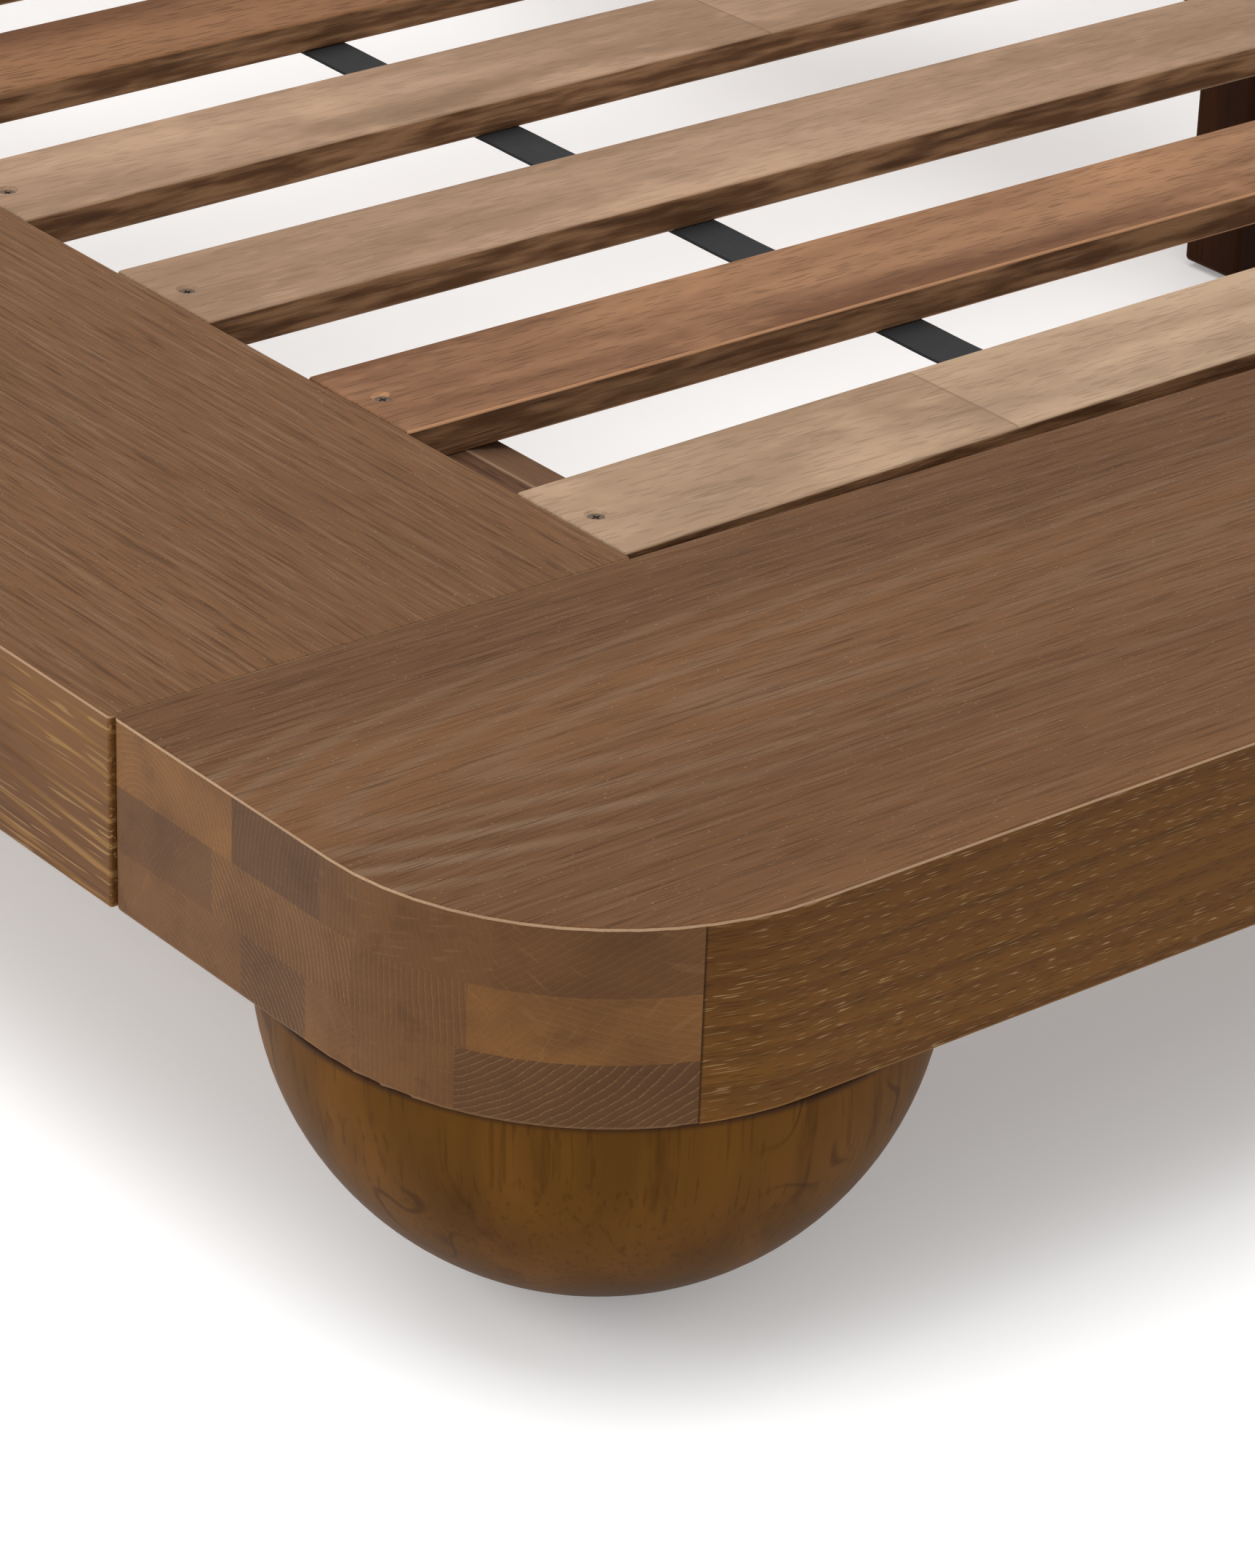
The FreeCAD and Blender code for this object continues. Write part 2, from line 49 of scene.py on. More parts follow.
class Figure:
    """A pattern on a surface: a shader node's output, with sums written as in Python."""

    def __init__(self, tree, socket):
        self.tree = tree
        self.socket = socket

    def node(self, kind, settings=None, inputs=None, output=0):
        made = self.tree.nodes.new(kind)
        for name, value in (settings or {}).items():
            if name == "stops":
                for _ in value[2:]:
                    made.color_ramp.elements.new(0.5)
                for element, (position, colour) in zip(made.color_ramp.elements, value):
                    element.position = position
                    element.color = colour
                made.color_ramp.interpolation = "CONSTANT"
            else:
                setattr(made, name, value)
        for name, value in (inputs or {}).items():
            if isinstance(value, Figure):
                self.tree.links.new(value.socket, made.inputs[name])
            else:
                made.inputs[name].default_value = value
        return Figure(self.tree, made.outputs[output])

    def math(self, operation, *values):
        return self.node("ShaderNodeMath", {"operation": operation}, dict(enumerate(values)))

    def __add__(self, other):
        return self.math("ADD", self, other)

    def __radd__(self, other):
        return self.math("ADD", other, self)

    def __sub__(self, other):
        return self.math("SUBTRACT", self, other)

    def __rsub__(self, other):
        return self.math("SUBTRACT", other, self)

    def __mul__(self, other):
        return self.math("MULTIPLY", self, other)

    def __rmul__(self, other):
        return self.math("MULTIPLY", other, self)

    def __truediv__(self, other):
        return self.math("DIVIDE", self, other)

    def __abs__(self):
        return self.math("ABSOLUTE", self)

    def root(self):
        return self.math("SQRT", self)

    def whole_part_gone(self):
        """The fraction left of a number."""
        return self.math("FRACT", self)

    def wave(self):
        return self.math("SINE", self)

    def over(self, limit):
        return self.math("GREATER_THAN", self, limit)

    def step(self, low, high):
        """0 below low, 1 above high, smooth between. The other way round if low is above high."""
        return self.node("ShaderNodeMapRange", {"interpolation_type": "SMOOTHSTEP"},
                         {"Value": self, "From Min": low, "From Max": high})


def colour_between(factor, first, second):
    """The first colour where the factor is 0, the second where it is 1."""
    first, second = [c if isinstance(c, Figure) else (*c, 1) for c in (first, second)]
    return factor.node("ShaderNodeMix", {"data_type": "RGBA"},
                       {0: factor, 6: first, 7: second}, output=2)


def shaded(colour, by):
    """A darker colour, or a lighter one where by is over 1."""
    return [part * by for part in colour]


def axes(vector):
    """The three components of a vector."""
    return [vector.node("ShaderNodeSeparateXYZ", inputs={0: vector}, output=i) for i in range(3)]


def vector_of(x, y, z):
    source = next(value for value in (x, y, z) if isinstance(value, Figure))
    return source.node("ShaderNodeCombineXYZ", inputs={0: x, 1: y, 2: z})


def noise(vector, scale, detail=2.0, roughness=0.5):
    """A soft random pattern, about 0.5. The scale is in lumps per metre, for all ways or for each."""
    if isinstance(scale, tuple):
        vector = vector.node("ShaderNodeVectorMath", {"operation": "MULTIPLY"}, {0: vector, 1: scale})
        scale = 1.0
    return vector.node("ShaderNodeTexNoise", inputs={
        "Vector": vector, "Scale": scale, "Detail": detail, "Roughness": roughness})


def moved(vector, by):
    """The same pattern taken from another place."""
    return vector.node("ShaderNodeVectorMath", {"operation": "ADD"}, {0: vector, 1: by})


class Finish:
    """A material for wood, metal or cloth. Its place is in metres, with x along the grain."""

    def __init__(self, name, grain="XYZ", seed=0.0, **even):
        self.material = bpy.data.materials.new(name)
        self.material.use_nodes = True
        self.tree = self.material.node_tree
        self.shader = self.tree.nodes["Principled BSDF"]
        for socket, value in even.items():
            self.shader.inputs[socket.replace("_", " ")].default_value = value
        where = self.tree.nodes.new("ShaderNodeTexCoord")
        self.place = Figure(self.tree, where.outputs["Object"])
        self.normal = Figure(self.tree, where.outputs["Normal"])
        self.xyz = dict(zip("XYZ", axes(self.place)))
        self.facing = dict(zip("XYZ", axes(self.normal)))
        self.along, self.across, self.depth = [self.xyz[axis] for axis in grain]
        self.grain = moved(vector_of(self.along, self.across, self.depth),
                           (seed, seed * 0.7, seed * 0.3))

    def edge_mask(self):
        """1 on the rounded edges of top and underside, 0 on flat faces and uprights."""
        upward = abs(self.facing["Z"])
        return upward.step(0.10, 0.35) * upward.step(0.98, 0.85)

    def colour(self, colour):
        self.tree.links.new(colour.socket, self.shader.inputs["Base Color"])

    def gloss(self, roughness):
        self.tree.links.new(roughness.socket, self.shader.inputs["Roughness"])

    def relief(self, height, depth):
        bump = height.node("ShaderNodeBump", inputs={
            "Height": height, "Distance": depth, "Strength": 1.0})
        self.tree.links.new(bump.socket, self.shader.inputs["Normal"])


def finish_nodes(finish, *nodes):
    """Puts a finish on pieces of the frame."""
    for node in nodes:
        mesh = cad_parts[node].data
        mesh.materials.clear()
        mesh.materials.append(finish.material)


def growth(finish, spacing, centre, height, sway, seed=0.0, end=0.0, lean=0.0):
    """How far through a year's growth each point is, in a board sawn along the tree.

    The tree's heart ran along the board at a place across it and at a height over it, and swayed.
    Where the tree leaned out of the board, towards one end, the rings run out in pointed loops.
    """
    grain = moved(finish.grain, (seed, seed, seed))
    slow = noise(grain, (0.8, 4.0, 4.0), 1.0) - 0.5
    rise = noise(grain, (1.5, 6.0, 6.0), 1.0) - 0.5
    fine = noise(grain, (5.0, 80.0, 80.0), 2.0) - 0.5
    off = finish.across - centre + slow * sway
    up = rise * sway + height
    radius = (off * off + up * up).root() + fine * WAVER
    if lean:
        run = abs(finish.along - end)
        radius = radius - run / (run * STRAIGHTENING + 1.0) * lean
    return (radius / spacing).whole_part_gone()


WAVER = 0.0035          # a ring's small waves, in metres
STRAIGHTENING = 4.0     # how soon the tree grew straight again, per metre

END_RAIL_LOW, END_RAIL_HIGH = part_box("foot_rail_core")
END_RAIL_INSIDE = -END_RAIL_HIGH[1]
END_RAIL_WIDTH = END_RAIL_HIGH[1] - END_RAIL_LOW[1]
LAYER = (END_RAIL_HIGH[2] - END_RAIL_LOW[2]) / 3
HEART_LOW, HEART_SPAN = -0.3, 0.7       # a colour ramp holds 0 to 1, so hearts are scaled to it
RING = 0.0024
WOOD_SHEEN = 0.08                       # the shader's specular level

# Each stave: millimetres from the rail's inside, tone, where the tree's heart lay (millimetres
# outwards from the inside and up from the underside), and how clear its rings are.
BOTTOM_STAVES = [(0, 0.50, 60, 150, 0.15), (33, 0.46, 20, -40, 0.3), (80, 0.22, 62, -22, 1.0),
                 (120, 0.60, 60, 110, 0.12), (147, 0.44, -120, 10, 0.2), (189, 0.18, 168, 60, 0.7)]
MIDDLE_STAVES = [(0, 0.30, -12, -20, 0.15), (62, 0.52, 25, 8, 0.9), (146, 0.40, -240, 20, 0.4),
                 (193, 0.70, 340, -60, 0.1), (214, 0.74, 180, -60, 0.2)]
TOP_STAVES = [(0, 0.80, 18, 44, 0.4), (74, 0.14, 360, 30, 0.6), (127, 0.36, -260, 70, 0.3),
              (148, 0.40, 330, 100, 0.12), (200, 0.34, 100, 190, 0.2)]


DARK_STAVE = (0.065, 0.031, 0.014)
LIGHT_STAVE = (0.191, 0.082, 0.022)
SHADED_STAVE = (0.055, 0.023, 0.009)
WAX = (0.378, 0.217, 0.093)


def staved_oak(name, layers, seed):
    """Glued staves. The ramp of each layer gives every stave its tone, heart and rings."""
    finish = Finish(name, "XYZ", seed, Specular_IOR_Level=WOOD_SHEEN)
    run = abs(finish.across) - END_RAIL_INSIDE
    height = finish.depth - END_RAIL_LOW[2]
    stave = clear = None
    for number, staves in enumerate(layers):
        stops = [(start / 1000 / END_RAIL_WIDTH,
                  (tone, (out / 1000 - HEART_LOW) / HEART_SPAN,
                   (up / 1000 - HEART_LOW) / HEART_SPAN, rings))
                 for start, tone, out, up, rings in staves]
        ramp = run.node("ShaderNodeValToRGB", {"stops": stops}, {"Fac": run / END_RAIL_WIDTH})
        rings = Figure(ramp.tree, ramp.socket.node.outputs["Alpha"])
        if stave is None:
            stave, clear = ramp, rings
        else:
            above = height.over(LAYER * number)
            stave = colour_between(above, stave, ramp)
            clear = clear + (rings - clear) * above
    tone, heart_out, heart_up = axes(stave)

    bend = noise(finish.grain, (1.5, 14.0, 14.0)) - 0.5
    waver = noise(finish.grain, (1.0, 90.0, 90.0)) - 0.5
    side = run - (heart_out * HEART_SPAN + HEART_LOW) + bend * 0.006
    up = height - (heart_up * HEART_SPAN + HEART_LOW)
    radius = (side * side + up * up).root() + waver * 0.0022
    ring = (radius / RING).whole_part_gone()
    turn = side.math("ARCTAN2", up, side)
    ray = noise(vector_of(turn * 95.0, radius * 70.0, tone * 30.0), 1.0, 1.0).step(0.60, 0.74)
    dots = noise(finish.grain, (120.0, 1300.0, 1300.0), 1.0).step(0.40, 0.62)
    cloud = noise(finish.grain, (3.0, 30.0, 30.0), 3.0)
    mottle = noise(moved(finish.grain, (6, 1, 3)), (14.0, 85.0, 85.0), 4.0, 0.6)

    colour = colour_between(tone, DARK_STAVE, LIGHT_STAVE)
    colour = colour_between(cloud.step(0.35, 0.75) * 0.45, colour, SHADED_STAVE)
    colour = colour_between(ring.step(0.45, 0.98) * clear * 0.4, colour, SHADED_STAVE)
    wax = ring.step(0.26, 0.06) * (0.25 + dots * 0.75) * clear
    colour = colour_between(wax * 0.42, colour, WAX)
    colour = colour_between(ray * (1.0 - clear) * 0.09, colour, WAX)
    colour = colour_between(dots * 0.14, colour, SHADED_STAVE)
    colour = colour_between(mottle.step(0.50, 0.75) * 0.35, colour, SHADED_STAVE)
    colour = colour_between(finish.edge_mask() * 0.10, colour, WAX)
    finish.colour(colour)
    finish.gloss(0.42 + wax * 0.2 + cloud * 0.08)
    finish.relief(wax * -1.0 + dots * -0.2, 0.00012)
    return finish


finish_nodes(staved_oak("foot_rail_staves", (BOTTOM_STAVES, MIDDLE_STAVES, TOP_STAVES), 0.0),
             "foot_rail_core")
finish_nodes(staved_oak("head_rail_staves", (TOP_STAVES, BOTTOM_STAVES, MIDDLE_STAVES), 3.7),
             "head_rail_core")


# ---- Face boards ----------------------------------------------------------------------------
# A thin oak board glued along each end rail's outer face, between its rounded ends.
# It is stained darker, and short open pores have kept a pale golden wax.

FACE_DARK, FACE_LIGHT = (0.078, 0.031, 0.006), (0.117, 0.048, 0.009)
FACE_RING = (0.058, 0.022, 0.006)
FACE_STREAK = (0.041, 0.015, 0.003)
FACE_OPEN_PORE, FACE_WAXED_PORE = (0.032, 0.012, 0.002), (0.347, 0.220, 0.100)
FACE_ARRIS = (0.222, 0.112, 0.028)
FACE_SEAM = (0.020, 0.009, 0.002)
SEAM_START, SEAM_FULL = 0.0012, 0.0004      # in from the board's end
FACE_SHEEN = 0.05


def face_board_oak(name, seed):
    finish = Finish(name, "XZY", seed, Specular_IOR_Level=FACE_SHEEN)
    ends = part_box("foot_rail_face_board")[1][0]
    year = growth(finish, 0.009, 0.13, 0.03, 0.05, 2.0)
    cloud = noise(finish.grain, (1.6, 16.0, 16.0), 3.0)
    streak = noise(finish.grain, (4.0, 190.0, 30.0), 2.0)
    pore = noise(finish.grain, (110.0, 1700.0, 80.0), 0.0)
    cluster = noise(moved(finish.grain, (9, 4, 2)), (3.0, 28.0, 8.0), 2.0)
    seam = abs(finish.along).step(ends - SEAM_START, ends - SEAM_FULL)
    dash = pore.step(0.68, 0.76) * cluster.step(0.36, 0.62)
    dark_dash = pore.step(0.34, 0.26)
    colour = colour_between(cloud.step(0.3, 0.7), FACE_DARK, FACE_LIGHT)
    colour = colour_between(year.step(0.35, 0.95) * 0.45, colour, FACE_RING)
    colour = colour_between(streak.step(0.52, 0.72) * 0.28, colour, FACE_STREAK)
    colour = colour_between(dark_dash * 0.40, colour, FACE_OPEN_PORE)
    colour = colour_between(dash * 0.60, colour, FACE_WAXED_PORE)
    colour = colour_between(finish.edge_mask() * 0.35, colour, FACE_ARRIS)
    colour = colour_between(seam * 0.8, colour, FACE_SEAM)
    finish.colour(colour)
    finish.gloss(0.40 + cloud * 0.1 + dash * 0.2)
    finish.relief(dash * -1.0 + dark_dash * -0.8 + streak * 0.3, 0.00015)
    return finish


finish_nodes(face_board_oak("face_board_oak", 0.0), "foot_rail_face_board")
finish_nodes(face_board_oak("head_face_board_oak", 5.2), "head_rail_face_board")


# ---- Veneers of the end rails -----------------------------------------------------------------
# Thick sawn oak veneer over the staves, grain along the rail, brushed and filled with grey wax.
# Its raw edge shows as a pale line all round the top.

VENEER_FLECK = (0.36, 0.26, 0.18)
VENEER_RAW_EDGE = (0.47, 0.31, 0.19)


def veneer_oak(name, grain, seed, heart, ring, tones, bands, brushed, end=0.0, lean=0.0):
    """Bands is how clear the pale rings are, brushed how strongly the fibres stand out."""
    finish = Finish(name, grain, seed, Specular_IOR_Level=WOOD_SHEEN)
    dark, light, grey = tones
    centre, height, sway = heart
    year = growth(finish, ring, centre, height, sway, 1.0, end, lean)
    cloud = noise(finish.grain, (1.3, 12.0, 12.0), 3.0)
    fade = noise(moved(finish.grain, (3, 8, 5)), (2.2, 18.0, 18.0), 2.0)
    fibre = noise(finish.grain, (16.0, 420.0, 420.0), 2.0)
    pore = noise(finish.grain, (44.0, 1450.0, 1450.0), 0.0)
    speck = noise(finish.grain, (700.0, 1500.0, 1500.0), 0.0)
    band = year.step(0.02, 0.30) * year.step(0.70, 0.36)
    band = band * abs(finish.across - centre).step(0.085, 0.045)
    band = band * (0.45 + fade.step(0.36, 0.60) * 0.55)
    band = band * (abs(finish.along - end).step(0.40, 0.14) * 0.6 + 0.4)
    dash = pore.step(0.62, 0.74) * (0.45 + fade * 0.5)
    raw = abs(finish.facing["Z"]).step(0.72, 0.35) * (0.45 + fade * 0.8)
    colour = colour_between(cloud.step(0.3, 0.7), dark, light)
    colour = colour_between(band * bands, colour, grey)
    colour = colour_between(fibre.step(0.5, 0.72) * brushed * 0.75, colour, grey)
    colour = colour_between(fibre.step(0.46, 0.30) * brushed, colour, shaded(dark, 0.55))
    colour = colour_between(dash * (0.30 + brushed * 0.6), colour, shaded(dark, 0.38))
    colour = colour_between(speck.step(0.79, 0.83) * 0.25, colour, VENEER_FLECK)
    colour = colour_between(raw * 0.72, colour, VENEER_RAW_EDGE)
    finish.colour(colour)
    finish.gloss(0.46 + band * 0.08 + dash * 0.2)
    finish.relief(dash * -1.0 + fibre * 0.35, 0.00016)
    return finish


END_VENEER_TONES = ((0.085, 0.035, 0.011), (0.120, 0.051, 0.016), (0.145, 0.084, 0.047))
END_VENEER_RING = 0.0155
finish_nodes(veneer_oak("foot_veneer_oak", "XYZ", 0.0, (-0.935, 0.013, 0.008), END_VENEER_RING,
                        END_VENEER_TONES, bands=0.78, brushed=0.42, end=-1.04, lean=0.36),
             "foot_rail_veneer")
finish_nodes(veneer_oak("head_veneer_oak", "XYZ", 6.1, (0.93, 0.013, 0.008), END_VENEER_RING,
                        END_VENEER_TONES, bands=0.90, brushed=0.42, end=1.04, lean=0.36),
             "head_rail_veneer")


# ---- Side rails -------------------------------------------------------------------------------
# Solid oak, butted between the end rails, with the same thick veneer on top, grain lengthwise.
# The outer face is brushed deep, and the wax picks out its growth rings as pale wavy lines.

SIDE_DARK, SIDE_LIGHT = (0.085, 0.032, 0.008), (0.137, 0.058, 0.015)
SIDE_FIBRE = (0.043, 0.016, 0.005)
SIDE_WAXED_RING, SIDE_WAXED_PORE = (0.318, 0.180, 0.064), (0.330, 0.189, 0.070)
SIDE_ARRIS = (0.227, 0.118, 0.041)


def side_rail_oak(name, seed):
    finish = Finish(name, "YZX", seed, Specular_IOR_Level=WOOD_SHEEN)
    year = growth(finish, 0.0075, 0.10, 0.05, 0.05, 4.0)
    cloud = noise(finish.grain, (1.8, 14.0, 14.0), 3.0)
    group = noise(moved(finish.grain, (2, 7, 4)), (2.5, 16.0, 16.0), 2.0)
    fibre = noise(finish.grain, (10.0, 480.0, 480.0), 2.0)
    pore = noise(finish.grain, (40.0, 700.0, 700.0), 0.0)
    line = year.step(0.02, 0.10) * year.step(0.34, 0.20)
    filled = line * group.step(0.34, 0.58) * (0.35 + fibre)
    dash = pore.step(0.63, 0.70) * group.step(0.30, 0.55)
    colour = colour_between(cloud.step(0.3, 0.7), SIDE_DARK, SIDE_LIGHT)
    colour = colour_between(filled * 0.85, colour, SIDE_WAXED_RING)
    colour = colour_between(fibre.step(0.46, 0.30) * 0.4, colour, SIDE_FIBRE)
    colour = colour_between(dash * 0.65, colour, SIDE_WAXED_PORE)
    colour = colour_between(finish.edge_mask() * 0.3, colour, SIDE_ARRIS)
    finish.colour(colour)
    finish.gloss(0.44 + line * 0.15)
    finish.relief(line * -0.8 + dash * -1.0 + fibre * 0.3, 0.0001)
    return finish


SIDE_VENEER_TONES = ((0.084, 0.035, 0.011), (0.114, 0.049, 0.016), (0.163, 0.100, 0.056))
finish_nodes(side_rail_oak("left_rail_oak", 0.0), "side_rail_left_core")
finish_nodes(side_rail_oak("right_rail_oak", 4.4), "side_rail_right_core")
SIDE_VENEER_RING = 0.0042
finish_nodes(veneer_oak("left_veneer_oak", "YXZ", 2.3, (-0.60, 0.04, 0.02), SIDE_VENEER_RING,
                        SIDE_VENEER_TONES, bands=0.40, brushed=0.52), "side_rail_left_veneer")
finish_nodes(veneer_oak("right_veneer_oak", "YXZ", 8.8, (0.60, 0.04, 0.02), SIDE_VENEER_RING,
                        SIDE_VENEER_TONES, bands=0.40, brushed=0.52), "side_rail_right_veneer")


# ---- Rail joints ------------------------------------------------------------------------------
# Beech dowels in each butt joint, and a folded steel angle bolted inside each corner.
# The angles are powder coated black, the bolts and washers zinc plated, the inserts brass.

CORNERS = ("foot_left", "foot_right", "head_left", "head_right")
PLAIN_SHEEN = 0.04
PLAIN_RING = 0.006


def plain_wood(name, grain, dark, light, roughness=0.6, seed=0.0):
    """Plain sawn and planed timber, for parts that are seldom seen."""
    finish = Finish(name, grain, seed, Specular_IOR_Level=PLAIN_SHEEN)
    cloud = noise(finish.grain, (2.0, 22.0, 22.0), 3.0)
    year = growth(finish, PLAIN_RING, 0.0, 0.04, 0.05)
    fibre = noise(finish.grain, (12.0, 420.0, 420.0), 2.0)
    pore = noise(finish.grain, (45.0, 800.0, 800.0), 0.0).step(0.64, 0.72)
    colour = colour_between(cloud.step(0.3, 0.7), dark, light)
    colour = colour_between(year.step(0.3, 0.95) * 0.3, colour, shaded(dark, 0.6))
    colour = colour_between(fibre.step(0.45, 0.3) * 0.35, colour, shaded(dark, 0.5))
    colour = colour_between(pore * 0.5, colour, shaded(dark, 0.4))
    colour = colour_between(finish.edge_mask() * 0.25, colour, shaded(light, 1.5))
    finish.colour(colour)
    finish.gloss(roughness + cloud * 0.12)
    finish.relief(fibre + pore * -1.0, 0.00012)
    return finish


def worked_metal(name, colour, metallic, roughness, grit):
    """Metal with a fine surface: powder coat, plating or turning marks by its grit."""
    finish = Finish(name, Metallic=metallic)
    fine = noise(finish.place, grit, 2.0)
    scuff = noise(finish.place, 40.0, 3.0)
    worn = [min(1.0, part * 1.6 + 0.01) for part in colour]
    finish.colour(colour_between(scuff.step(0.4, 0.8) * 0.35, colour, worn))
    finish.gloss(roughness + fine * 0.2 - scuff.step(0.5, 0.8) * 0.1)
    finish.relief(fine, 0.00006)
    return finish


BEECH_DARK, BEECH_LIGHT = (0.45, 0.29, 0.16), (0.60, 0.42, 0.26)
powder_coat = worked_metal("black_powder_coat", (0.018, 0.018, 0.019), 0.0, 0.40, 2400.0)
zinc = worked_metal("zinc_plate", (0.52, 0.53, 0.55), 1.0, 0.25, 900.0)
brass = worked_metal("turned_brass", (0.62, 0.44, 0.17), 1.0, 0.25, 1400.0)
black_screw = worked_metal("black_phosphate", (0.030, 0.028, 0.027), 0.7, 0.42, 1800.0)
finish_nodes(plain_wood("dowel_beech", "YXZ", BEECH_DARK, BEECH_LIGHT), "rail_dowels")
finish_nodes(powder_coat, *["corner_bracket_" + corner for corner in CORNERS])
finish_nodes(zinc, "bracket_bolts", "bracket_washers")
finish_nodes(brass, "bracket_inserts")


# ---- Corner blocks and cleats -----------------------------------------------------------------
# A bevelled block screwed in each corner and a narrow cleat along each side rail between them.
# Together they carry the slats' ends. They are plain planed timber with a thin brown stain.

CLEAT_DARK, CLEAT_LIGHT = (0.074, 0.032, 0.017), (0.115, 0.055, 0.030)
BLOCK_DARK, BLOCK_LIGHT = (0.068, 0.032, 0.017), (0.104, 0.053, 0.030)
BLOCK_BEVEL, BLOCK_PAINTED_HIGHLIGHT = (0.135, 0.074, 0.042), (0.26, 0.165, 0.105)
BEVEL_WIDTH = 0.024
STAINED_ROUGHNESS = 0.62


def block_timber(name):
    """Planed timber with a paler bevel, and a painted highlight along the line where the bevel starts.
    """
    finish = plain_wood(name, "YXZ", BLOCK_DARK, BLOCK_LIGHT, STAINED_ROUGHNESS)
    inner_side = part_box("corner_block_foot_left")[1][0]
    from_line = abs(finish.across) - (BEVEL_WIDTH - inner_side)
    upward = finish.facing["Z"].step(0.3, 0.6)
    plain = Figure(finish.tree, finish.shader.inputs["Base Color"].links[0].from_socket)
    bevel = from_line.step(0.0004, -0.0004) * upward
    # Painted highlight: a pale line along the arris where the bevel starts.
    line = abs(from_line).step(0.0016, 0.0004) * upward
    colour = colour_between(bevel * 0.55, plain, BLOCK_BEVEL)
    finish.colour(colour_between(line * 0.55, colour, BLOCK_PAINTED_HIGHLIGHT))
    return finish


finish_nodes(plain_wood("cleat_timber", "YXZ", CLEAT_DARK, CLEAT_LIGHT, STAINED_ROUGHNESS),
             "cleat_left", "cleat_right")
finish_nodes(block_timber("block_timber"), *["corner_block_" + corner for corner in CORNERS])
finish_nodes(black_screw, "cleat_screws", "corner_block_screws")


# ---- Centre beam and its legs -----------------------------------------------------------------
# A timber beam under the middle of the slats, in a folded steel shoe at each end.
# Two short legs of darker timber, with felt pads, are bolted up into it.

BEAM_DARK, BEAM_LIGHT = (0.074, 0.032, 0.015), (0.118, 0.056, 0.029)
LEG_DARK, LEG_LIGHT = (0.023, 0.007, 0.002), (0.042, 0.013, 0.003)
LEG_ROUGHNESS = 0.42
finish_nodes(plain_wood("beam_timber", "YXZ", BEAM_DARK, BEAM_LIGHT, STAINED_ROUGHNESS, 2.0),
             "center_beam")
finish_nodes(powder_coat, "beam_shoe_foot", "beam_shoe_head")
finish_nodes(black_screw, "shoe_screws")
finish_nodes(plain_wood("leg_timber", "ZXY", LEG_DARK, LEG_LIGHT, LEG_ROUGHNESS, 3.0),
             "center_leg_foot", "center_leg_head")
finish_nodes(zinc, "leg_bolts")
finish_nodes(brass, "leg_inserts")


# ---- Slats ------------------------------------------------------------------------------------
# Twelve planed boards laid across the bed, each screwed down at both ends in a countersunk hole.
# They are bare and matt, of mixed tones, some finger-jointed, with rougher sawn sides.

SAWN_DARK, SAWN_LIGHT = (0.100, 0.045, 0.019), (0.255, 0.134, 0.066)
SAWN_FIBRE = (0.045, 0.021, 0.011)
JOINT_STEP, JOINT_LINE = 0.0004, 0.0012     # half widths of the change of tone and of the glue line


def slat_timber(name, dark, light, seed, dashes, arris, joint):
    """Dashes and arris are how clear the pores and the pale near edge are. Joint is a place or None."""
    finish = Finish(name, "XYZ", seed, Specular_IOR_Level=WOOD_SHEEN)
    cloud = noise(finish.grain, (2.4, 20.0, 20.0), 3.0)
    blotch = noise(moved(finish.grain, (4, 2, 7)), (5.0, 24.0, 24.0), 4.0)
    flake = noise(moved(finish.grain, (8, 5, 1)), (30.0, 110.0, 110.0), 4.0, 0.6)
    fibre = noise(finish.grain, (14.0, 420.0, 420.0), 2.0)
    pore = noise(finish.grain, (75.0, 900.0, 900.0), 0.0).step(0.60, 0.72)
    glow = noise(moved(finish.grain, (1, 9, 3)), (7.0, 14.0, 14.0), 4.0, 0.62)
    saw = noise(moved(finish.place, (seed, 0, 0)), (22.0, 260.0, 190.0), 4.0)
    side = abs(finish.facing["Y"]).step(0.80, 0.97)
    near_edge = finish.edge_mask() * finish.facing["Y"].step(-0.05, -0.35)
    tone = cloud
    if joint is not None:
        beyond = finish.along.step(joint - JOINT_STEP, joint + JOINT_STEP)
        tone = cloud + beyond * 0.16 - 0.08
    colour = colour_between(tone.step(0.30, 0.70), dark, light)
    colour = colour_between(glow.step(0.50, 0.68) * 0.45, colour, shaded(light, 1.22))
    colour = colour_between(blotch.step(0.52, 0.75) * 0.40, colour, shaded(dark, 0.62))
    colour = colour_between(flake.step(0.50, 0.68) * 0.20, colour, shaded(dark, 0.75))
    colour = colour_between(flake.step(0.46, 0.32) * 0.20, colour, shaded(light, 1.15))
    colour = colour_between(fibre.step(0.45, 0.28) * 0.12, colour, shaded(dark, 0.6))
    colour = colour_between(pore * dashes, colour, shaded(dark, 0.45))
    if joint is not None:
        line = (finish.along.step(joint - JOINT_LINE, joint)
                * finish.along.step(joint + JOINT_LINE, joint))
        colour = colour_between(line * 0.45, colour, shaded(dark, 0.4))
    sawn = colour_between(saw.step(0.36, 0.66), SAWN_DARK, SAWN_LIGHT)
    sawn = colour_between(fibre.step(0.5, 0.3) * 0.5, sawn, SAWN_FIBRE)
    colour = colour_between(side, colour, sawn)
    colour = colour_between(near_edge * arris, colour, shaded(light, 1.5))
    finish.colour(colour)
    finish.gloss(0.60 + blotch * 0.15)
    finish.relief(fibre * 0.6 + pore * -0.6 + saw * side, 0.00022)
    return finish


PALE = ((0.225, 0.143, 0.087), (0.345, 0.238, 0.155))
TAWNY = ((0.195, 0.118, 0.072), (0.315, 0.205, 0.132))
GOLDEN = ((0.105, 0.044, 0.020), (0.262, 0.136, 0.070))
RUSSET = ((0.107, 0.045, 0.019), (0.186, 0.088, 0.040))
